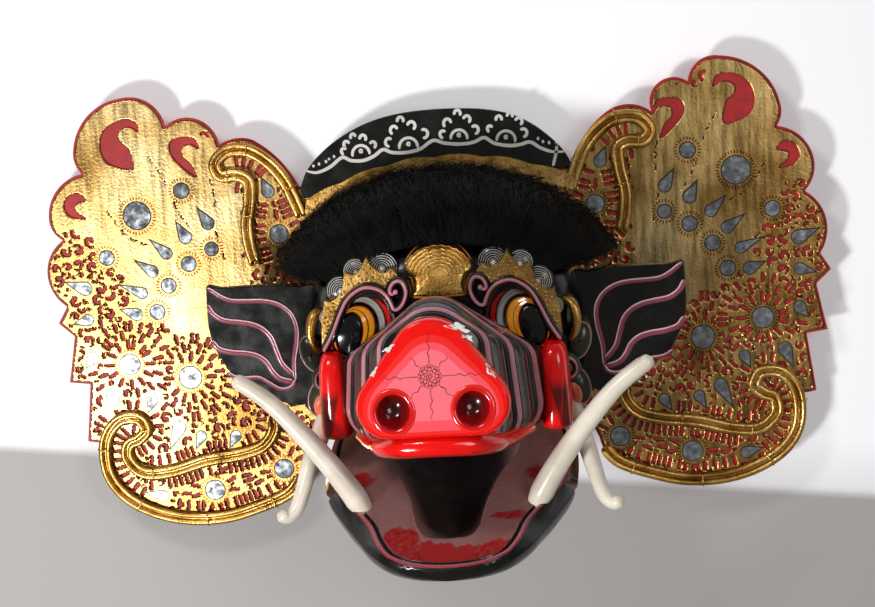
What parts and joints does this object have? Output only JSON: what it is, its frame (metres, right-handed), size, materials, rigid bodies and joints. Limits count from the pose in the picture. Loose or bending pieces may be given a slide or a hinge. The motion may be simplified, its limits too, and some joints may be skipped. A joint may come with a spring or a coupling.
{
  "type": "barong mask",
  "caption": "Carved and painted wooden boar mask with a hinged open lower jaw, tusks, ears, fur mane, crown board and gilded pierced hide wings.",
  "frame": {"origin": "middle of the footprint, on the plane that the rear rim lies on", "axes": "+Z out of the face and up as the mask lies on its back, +Y towards the crown, +X to the right as the face is seen from the front"},
  "size_m": [0.6974, 0.3974, 0.294],
  "materials": {
    "black_lacquer": "glossy black paint on carved wood, with red, pink and white painted bands",
    "jaw_paint": "worn red paint under dust on carved wood",
    "ivory_paint": "smooth cream gloss",
    "bare_wood": "plain turned pin",
    "black_fur": "long black hair",
    "red_hide": "red paint on stiff hide",
    "gilded_hide": "burnished gold leaf on pierced hide",
    "gilded_rattan": "gold leaf on bound rattan rods"
  },
  "bodies": {
    "root": {"head": "black_lacquer", "tusk_upper_right": "ivory_paint", "tusk_upper_left": "ivory_paint", "ear_right": "black_lacquer", "ear_left": "black_lacquer", "jaw_pin_right": "bare_wood", "jaw_pin_left": "bare_wood", "mane": "black_fur", "crown_board": "black_lacquer", "crown_fringe": "gilded_hide", "wing_panel_left": "red_hide", "wing_gilt_left": "gilded_hide", "wing_leaf_edging_left": "gilded_rattan", "wing_scroll_edging_left": "gilded_rattan", "wing_panel_right": "red_hide", "wing_gilt_right": "gilded_hide", "wing_leaf_edging_right": "gilded_rattan", "wing_scroll_edging_right": "gilded_rattan"},
    "jaw": {"lower_jaw": "jaw_paint", "tusk_lower_right": "ivory_paint", "tusk_lower_left": "ivory_paint"}
  },
  "joints": [
    {"name": "jaw_hinge", "type": "hinge", "parent": "root", "child": "jaw", "pos_m": [0.01342, -0.08687, 0.07], "axis": [1, 0, 0], "range_deg": [-15, 0]}
  ]
}
